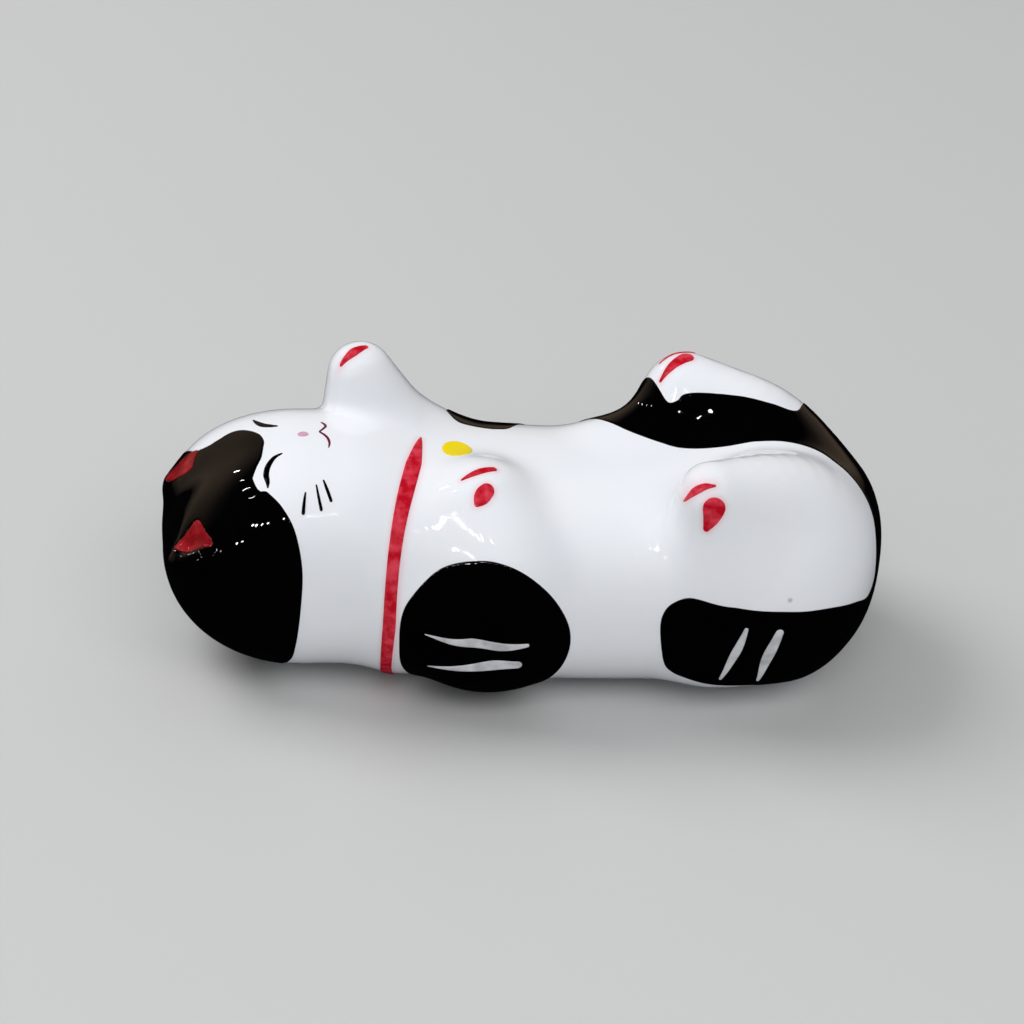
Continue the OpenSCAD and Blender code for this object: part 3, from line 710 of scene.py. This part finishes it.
FOREPAW_PADS = [([(-6.2, -5.95), (-5.0, -5.45), (-3.55, -4.9)], [0.2, 0.65, 0.55]),
                ([(-4.25, -7.2), (-4.65, -7.6), (-5.05, -8.05)], [1.2, 1.3, 0.55])]
RAISED_PADS = [([(-15.45, 6.05), (-14.5, 6.6), (-13.5, 7.15)], [0.4, 0.9, 0.45])]
RIGHT_HIND_PADS = [([(11.45, 20.45), (11.8, 21.1), (12.3, 21.7), (13.0, 22.15), (13.8, 22.3)],
                    [0.08, 0.26, 0.42, 0.36, 0.12]),
                   ([(13.75, 20.65), (13.6, 19.9), (13.25, 18.85)], [1.85, 1.35, 0.5])]
LEFT_HIND_PADS = [([(11.6, 8.9), (12.7, 9.5), (14.6, 9.8)], [0.15, 0.3, 0.2]),
                  ([(11.5, 6.9), (12.5, 7.7), (13.7, 8.5)], [0.3, 0.9, 1.35])]
BELL_CENTRE = (-6.1, -0.15)
NOSE_CENTRE = (-18.85, 0.1)
# Lengths as shares of the widths
BELL_LENGTH, NOSE_LENGTH = 1.15, 0.8
# Y at which the collar's upper end lies, and the rounding of the left leg's white
COLLAR_END, WHITE_ROUND = 1.5, 4
# A tiny flaw in the glaze of the right haunch
PINHOLE = (20.65, -12.8, 12.8)


def foot_line(p):
    """How far each point lies above the bare foot."""
    return p[:, Z] - sizes().foot


def right_lining(p):
    return drawn(from_above(p, EARS), RIGHT_LINING)


def left_lining(p):
    return drawn(from_above(p, EARS), LEFT_LINING)


def head_patches(p):
    side = drawn(from_side(p, -1, HEAD_START), HEAD_SIDE)
    forehead = drawn(from_above(p, FACE), FOREHEAD)
    ears = np.maximum(right_lining(p), left_lining(p))
    return np.minimum.reduce([np.maximum(side, forehead), foot_line(p), -ears])


def right_shoulder_patch(p):
    return np.minimum(drawn(from_side(p, -1), SHOULDER), foot_line(p))


def left_shoulder_patch(p):
    form = surface().form
    behind_collar = form.station(p) - form.neck_x - sizes().collar_width
    return np.minimum.reduce([drawn(from_side(p, 1), LEFT_SHOULDER), foot_line(p), behind_collar])


def rump_patch(p):
    side = drawn(from_side(p, -1), HIP_SIDE)
    groin = within(p[:, [X, Y]], GROIN)
    q, depth = from_above(p, LEG)
    white = smooth_union(within(q, LEFT_LEG_WHITE), depth, WHITE_ROUND * MM)
    return np.minimum(np.maximum(side, np.minimum(groin, -white)), foot_line(p))


def collar(p):
    """The collar as a brush leaves it: it wanders, swells under the paw and ends in a point."""
    form = surface().form
    along = form.station(p) - form.neck_x
    wander = 0.06 * MM * (np.sin(p[:, Y] / (1.9 * MM)) + np.sin(p[:, Z] / (2.7 * MM) + 2))
    drift = np.interp(p[:, Z], (0, 9 * MM), (0.3 * MM, 0))
    swell = 1 + 0.12 * np.exp(-((p[:, Y] + 5 * MM) / (3.5 * MM)) ** 2)
    left = COLLAR_END * MM - p[:, Y]
    taper = np.clip(left / (4 * MM), 0, 1) ** 0.6
    half = np.where(left > 0, sizes().collar_width / 2 * swell * taper, left)
    return np.minimum(half - np.abs(along + drift + wander), foot_line(p))


def whiskers(p, side):
    """Whiskers of the left (1) or the right (-1) cheek, which keep clear of the raised foreleg."""
    drop = (0, WHISKER_DROP if side > 0 else 0)
    strokes = [(np.array(points) * (1, side) + drop, widths) for points, widths in WHISKERS]
    clear = chain_distance(p, surface().form.raised) - sizes().collar_width
    return np.minimum(brushed(from_above(p, FACE), strokes), clear)


def red_marks(p):
    """How deep each point lies in the nearest red mark."""
    above = from_above(p, FACE)
    return np.maximum.reduce([
        collar(p), brushed(above, FOREPAW_PADS), brushed(above, RAISED_PADS),
        brushed(above, LEFT_HIND_PADS), brushed(from_side(p, -1, FOOT_START), RIGHT_HIND_PADS)])


# Materials

def srgb(hexadecimal):
    """Linear colour of an sRGB hex code."""
    parts = [int(hexadecimal[k:k + 2], 16) / 255 for k in (1, 3, 5)]
    return (*(c / 12.92 if c <= 0.04045 else ((c + 0.055) / 1.055) ** 2.4 for c in parts), 1)


def new_material(name, roughness):
    material = bpy.data.materials.new(name)
    material.use_nodes = True
    shader = material.node_tree.nodes["Principled BSDF"]
    shader.inputs["Roughness"].default_value = roughness
    return material, shader


def add(tree, kind, links=(), **settings):
    """A new node: settings are its properties, or its input sockets by name."""
    node = tree.nodes.new(kind)
    for key, value in settings.items():
        if hasattr(node, key):
            setattr(node, key, value)
        else:
            node.inputs[key.replace("_", " ")].default_value = value
    for socket, source in links:
        tree.links.new(source, node.inputs[socket])
    return node


def mixed(tree, factor, first, second):
    """Socket with a colour between two others, which are hex codes or sockets."""
    node = add(tree, "ShaderNodeMix", [("Factor", factor)], data_type="RGBA")
    for socket, colour in ((node.inputs[6], first), (node.inputs[7], second)):
        if isinstance(colour, str):
            socket.default_value = srgb(colour)
        else:
            tree.links.new(colour, socket)
    return node.outputs[2]


def white_glaze():
    """Clear bluish white glaze over porcelain, stained pink beside the red enamels, with one tiny
    grey flaw."""
    material, shader = new_material("white_porcelain_glaze", 0.07)
    tree = material.node_tree
    halo = add(tree, "ShaderNodeAttribute", attribute_name="halo")
    coordinates = add(tree, "ShaderNodeTexCoord")
    mottle = add(tree, "ShaderNodeTexNoise", [("Vector", coordinates.outputs["Object"])],
                 Scale=180.0, Detail=3.0)
    tint = mixed(tree, mottle.outputs["Fac"], "#eef1f7", "#f4f5f8")
    stain = mixed(tree, halo.outputs["Fac"], tint, "#f3b9c2")
    away = add(tree, "ShaderNodeVectorMath", [(0, coordinates.outputs["Object"])], operation="DISTANCE")
    away.inputs[1].default_value = mm(PINHOLE)
    hole = add(tree, "ShaderNodeMapRange", [("Value", away.outputs["Value"])],
               From_Min=0.36 * MM, From_Max=0.14 * MM, To_Max=0.9)
    flaw = mixed(tree, hole.outputs["Result"], stain, "#50504e")
    tree.links.new(flaw, shader.inputs["Base Color"])
    shader.inputs["IOR"].default_value = 1.52
    return material


def plain_enamel(name, colour, roughness=0.06):
    """Fired glossy enamel of one colour."""
    material, shader = new_material(name, roughness)
    shader.inputs["Base Color"].default_value = srgb(colour)
    return material


def brushed_enamel(name, thick, thin, scale=900.0):
    """Glossy enamel that shows the brush: thick and thin colour in soft blots."""
    material, shader = new_material(name, 0.08)
    tree = material.node_tree
    coordinates = add(tree, "ShaderNodeTexCoord")
    blots = add(tree, "ShaderNodeTexNoise", [("Vector", coordinates.outputs["Object"])],
                Scale=scale, Detail=2.0, Roughness=0.6)
    ramp = add(tree, "ShaderNodeValToRGB", [("Fac", blots.outputs["Fac"])])
    for stop, position, colour in zip(ramp.color_ramp.elements, (0.4, 0.68), (thick, thin)):
        stop.position = position
        stop.color = srgb(colour)
    tree.links.new(ramp.outputs["Color"], shader.inputs["Base Color"])
    return material


MATERIALS = {}


def materials():
    """The glaze and the enamels, made once."""
    if not MATERIALS:
        MATERIALS.update(
            white=white_glaze(),
            black=plain_enamel("black_enamel", "#020203", 0.03),
            red=brushed_enamel("red_enamel", "#c01024", "#e24557"),
            lining=brushed_enamel("ear_lining_enamel", "#7d1218", "#a32027"),
            yellow=plain_enamel("yellow_enamel", "#f6dc14", 0.08),
            pink=plain_enamel("pink_enamel", "#d9a3bb", 0.15),
            maroon=plain_enamel("dark_red_enamel", "#6c1030", 0.1),
            stroke=brushed_enamel("white_enamel", "#d9dade", "#b9b9bd", 700.0),
        )
    return MATERIALS


# Operators

CLAY_NODES = ("head", "torso", "right_ear", "left_ear", "right_foreleg", "left_foreleg",
              "right_hind_leg", "left_hind_leg")
# How far the red stains the glaze, and how strongly
HALO_WIDTH, HALO_STRENGTH = 0.26 * MM, 0.45


class REST_OT_clay(bpy.types.Operator):
    """Make the glazed clay body: head, torso, ears and legs in one fired form"""
    bl_idname = "rest.clay"
    bl_label = "Glazed Body"
    bl_options = {"REGISTER", "UNDO"}

    def execute(self, context):
        clay = surface()
        piece = make_object("glazed_body", clay.points, clay.quads, materials()["white"])
        away = np.clip(-red_marks(clay.points), 0, None)
        halo = piece.data.attributes.new("halo", "FLOAT", "POINT")
        halo.data.foreach_set("value", np.exp(-(away / HALO_WIDTH) ** 2) * HALO_STRENGTH)
        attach(piece, "root")
        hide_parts(*CLAY_NODES)
        return {"FINISHED"}


class REST_OT_black_patches(bpy.types.Operator):
    """Paint the black patches of the ears, the shoulders and the rump"""
    bl_idname = "rest.black_patches"
    bl_label = "Black Patches"
    bl_options = {"REGISTER", "UNDO"}

    def execute(self, context):
        enamel("head_patches", head_patches, "black", splits=0,
               nodes=("right_ear_patch", "left_ear_patch"))
        for patch in (right_shoulder_patch, left_shoulder_patch, rump_patch):
            enamel(patch.__name__, patch, "black", splits=0)
        return {"FINISHED"}


class REST_OT_face(bpy.types.Operator):
    """Paint the closed eyes, the nose, the mouth, the whiskers and the ear linings"""
    bl_idname = "rest.face"
    bl_label = "Face"
    bl_options = {"REGISTER", "UNDO"}

    def execute(self, context):
        for name, stroke, paint in (("right_eye", RIGHT_EYE, "black"), ("left_eye", LEFT_EYE, "black"),
                                    ("mouth", MOUTH, "maroon")):
            enamel(name, lambda p: brushed(from_above(p, TOP), [stroke]), paint)
        width = sizes().nose_width
        enamel("nose", lambda p: oval(from_above(p, TOP), NOSE_CENTRE, width, width * NOSE_LENGTH),
               "pink")
        enamel("right_whiskers", lambda p: whiskers(p, -1), "black")
        enamel("left_whiskers", lambda p: whiskers(p, 1), "black")
        enamel("right_ear_lining", right_lining, "lining", splits=1)
        enamel("left_ear_lining", left_lining, "lining", splits=1)
        return {"FINISHED"}


class REST_OT_collar(bpy.types.Operator):
    """Paint the red collar and its yellow bell"""
    bl_idname = "rest.collar"
    bl_label = "Collar and Bell"
    bl_options = {"REGISTER", "UNDO"}

    def execute(self, context):
        enamel("collar", collar, "red", splits=1)
        width = sizes().bell_diameter
        enamel("bell", lambda p: oval(from_above(p, TOP), BELL_CENTRE, width, width * BELL_LENGTH),
               "yellow", splits=1)
        return {"FINISHED"}


class REST_OT_pads(bpy.types.Operator):
    """Paint the red pads of the paws"""
    bl_idname = "rest.pads"
    bl_label = "Paw Pads"
    bl_options = {"REGISTER", "UNDO"}

    def execute(self, context):
        for name, strokes in (("right_forepaw_pads", FOREPAW_PADS),
                              ("left_forepaw_pads", RAISED_PADS),
                              ("left_hind_pads", LEFT_HIND_PADS)):
            enamel(name, lambda p: brushed(from_above(p, TOP), strokes), "red")
        enamel("right_hind_pads",
               lambda p: brushed(from_side(p, -1, FOOT_START), RIGHT_HIND_PADS), "red")
        return {"FINISHED"}


class REST_OT_strokes(bpy.types.Operator):
    """Paint the white strokes over the black patches"""
    bl_idname = "rest.strokes"
    bl_label = "White Strokes"
    bl_options = {"REGISTER", "UNDO"}

    def execute(self, context):
        for name, side, strokes in (("right_shoulder_strokes", -1, SHOULDER_STROKES),
                                    ("right_hip_strokes", -1, HIP_STROKES),
                                    ("left_hip_strokes", 1, HIP_STROKES)):
            enamel(name, lambda p: brushed(from_side(p, side), strokes), "stroke", layer=1)
        enamel("left_shoulder_strokes",
               lambda p: np.minimum(brushed(from_side(p, 1), SHOULDER_STROKES),
                                    left_shoulder_patch(p) - sizes().edge), "stroke", layer=1)
        return {"FINISHED"}


class REST_OT_stage(bpy.types.Operator):
    """Set the floor, the lights and the camera"""
    bl_idname = "rest.stage"
    bl_label = "Stage"
    bl_options = {"REGISTER", "UNDO"}

    CAMERA_TARGET = (0, 0, 10)
    CAMERA_TURN, CAMERA_RISE, CAMERA_ROLL = -8, 33, 5
    CAMERA_DISTANCE = 350
    CAMERA_LENS, CAMERA_SENSOR = 146.8, 36
    CAMERA_SHIFT = (-0.0101, 0.0283)
    # Small lamps whose reflections show: azimuth, elevation, width and depth in millimetres
    SMALL_LAMPS = ((-147, 42, 20, 20), (-142, 43, 20, 20), (-147, 21, 20, 20), (-142, 24, 20, 20),
                   (-137, 45, 12, 20), (-132, 48, 12, 20), (-117, 55, 10, 20), (-91, 59, 2.5, 20),
                   (-87, 61, 2.5, 20), (-79, 53, 2.5, 20), (126, 24, 5, 40), (136, 36, 5, 40),
                   (149, 45, 5, 40), (166, 52, 5, 40))
    LAMP_DISTANCE = 600
    SMALL_RADIANCE = 50
    # Brown part of the mirrored room: axis of the direction, and where it fades in from and to
    BROWN = (("Y", 0.1, 0.8), ("Z", 0.6, 0.3), ("Z", -0.15, 0.0))
    FLOOR_SIZE, WORLD_STRENGTH = 2.4, 0.51
    # Soft lamps: name, place, width, depth in millimetres, and radiance
    SOFT_LAMPS = (("key", (-330, 170, 430), 320, 320, 5.0), ("fill", (80, -330, 420), 500, 300, 2.3))

    def execute(self, context):
        self.set_floor()
        self.set_lights()
        self.set_camera()
        return {"FINISHED"}

    def set_floor(self):
        bpy.ops.mesh.primitive_plane_add(size=self.FLOOR_SIZE)
        floor = bpy.context.object
        floor.name = "floor"
        floor.data.materials.append(plain_enamel("white_card", "#cececd", 0.55))
        floor.visible_glossy = False

    def lamp(self, name, place, width, depth, radiance):
        """An area lamp that is turned to the rest."""
        light = bpy.data.lights.new(name, "AREA")
        light.shape = "RECTANGLE"
        light.size, light.size_y = width * MM, depth * MM
        light.energy = radiance * math.pi * light.size * light.size_y
        lamp = bpy.data.objects.new(name, light)
        bpy.context.scene.collection.objects.link(lamp)
        lamp.location = mm(place)
        aim = Vector(mm(self.CAMERA_TARGET)) - lamp.location
        lamp.rotation_euler = aim.to_track_quat("-Z", "Y").to_euler()
        return lamp

    def set_lights(self):
        """Soft light that casts no reflections, and small lamps that cast nothing else."""
        self.set_world()
        for soft in self.SOFT_LAMPS:
            self.lamp(*soft).visible_glossy = False
        for k, (azimuth, elevation, width, depth) in enumerate(self.SMALL_LAMPS):
            turn, rise = math.radians(azimuth), math.radians(elevation)
            towards = np.array([math.cos(turn) * math.cos(rise), math.sin(turn) * math.cos(rise),
                                math.sin(rise)])
            lamp = self.lamp("small_lamp_%02d" % k, self.LAMP_DISTANCE * towards, width, depth,
                             self.SMALL_RADIANCE)
            lamp.visible_diffuse = False
            lamp.visible_camera = False

    def set_world(self):
        """Even grey light. Mirrored, the room is black, with brown low behind the rest."""
        world = bpy.data.worlds.new("studio")
        bpy.context.scene.world = world
        world.use_nodes = True
        tree = world.node_tree
        background = tree.nodes["Background"]
        coordinates = add(tree, "ShaderNodeTexCoord")
        place = add(tree, "ShaderNodeSeparateXYZ", [("Vector", coordinates.outputs["Generated"])])
        ranges = [add(tree, "ShaderNodeMapRange", [("Value", place.outputs[axis])], From_Min=start,
                      From_Max=end).outputs["Result"] for axis, start, end in self.BROWN]
        brown = ranges[0]
        for share in ranges[1:]:
            brown = add(tree, "ShaderNodeMath", [(0, brown), (1, share)],
                        operation="MULTIPLY").outputs["Value"]
        path = add(tree, "ShaderNodeLightPath")
        room = mixed(tree, brown, "#101012", "#b39c86")
        seen = mixed(tree, path.outputs["Is Glossy Ray"], "#e9ebee", room)
        tree.links.new(seen, background.inputs["Color"])
        background.inputs["Strength"].default_value = self.WORLD_STRENGTH

    def set_camera(self):
        turn, rise = math.radians(self.CAMERA_TURN), math.radians(self.CAMERA_RISE)
        ahead = Vector((-math.sin(turn), math.cos(turn), 0))
        look = ahead * math.cos(rise) - Vector((0, 0, math.sin(rise)))
        camera = bpy.data.cameras.new("camera")
        camera.lens, camera.sensor_width = self.CAMERA_LENS, self.CAMERA_SENSOR
        camera.shift_x, camera.shift_y = self.CAMERA_SHIFT
        view = bpy.data.objects.new("camera", camera)
        bpy.context.scene.collection.objects.link(view)
        target = Vector(mm(self.CAMERA_TARGET))
        aim = look.to_track_quat("-Z", "Y").to_matrix()
        roll = Matrix.Rotation(math.radians(self.CAMERA_ROLL), 3, "Z")
        view.matrix_world = Matrix.Translation(target - look * self.CAMERA_DISTANCE * MM) @ (
            aim @ roll).to_4x4()
        bpy.context.scene.camera = view


class REST_PT_panel(bpy.types.Panel):
    """Builds the chopstick rest step by step"""
    bl_idname = "REST_PT_panel"
    bl_label = "Chopstick Rest"
    bl_space_type = "VIEW_3D"
    bl_region_type = "UI"
    bl_category = "Chopstick Rest"

    def draw(self, context):
        for operator in OPERATORS:
            self.layout.operator(operator.bl_idname)
        for group in GROUPS:
            settings = getattr(context.scene, group)
            for name in settings.bl_rna.properties.keys():
                if name not in ("name", "rna_type"):
                    self.layout.prop(settings, name)


OPERATORS = (REST_OT_clay, REST_OT_black_patches, REST_OT_face, REST_OT_collar, REST_OT_pads,
             REST_OT_strokes, REST_OT_stage)
CLASSES = (*GROUPS.values(), *OPERATORS, REST_PT_panel)


def register():
    for kind in CLASSES:
        bpy.utils.register_class(kind)
    for name, group in GROUPS.items():
        setattr(bpy.types.Scene, name, bpy.props.PointerProperty(type=group))


def unregister():
    for name in GROUPS:
        delattr(bpy.types.Scene, name)
    for kind in reversed(CLASSES):
        bpy.utils.unregister_class(kind)


def main():
    register()
    bpy.ops.object.select_all(action="DESELECT")
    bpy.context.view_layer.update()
    bpy.context.scene.view_settings.view_transform = "Standard"
    for step in ("clay", "black_patches", "face", "collar", "pads", "strokes", "stage"):
        getattr(bpy.ops.rest, step)()


if __name__ == "__main__":
    main()
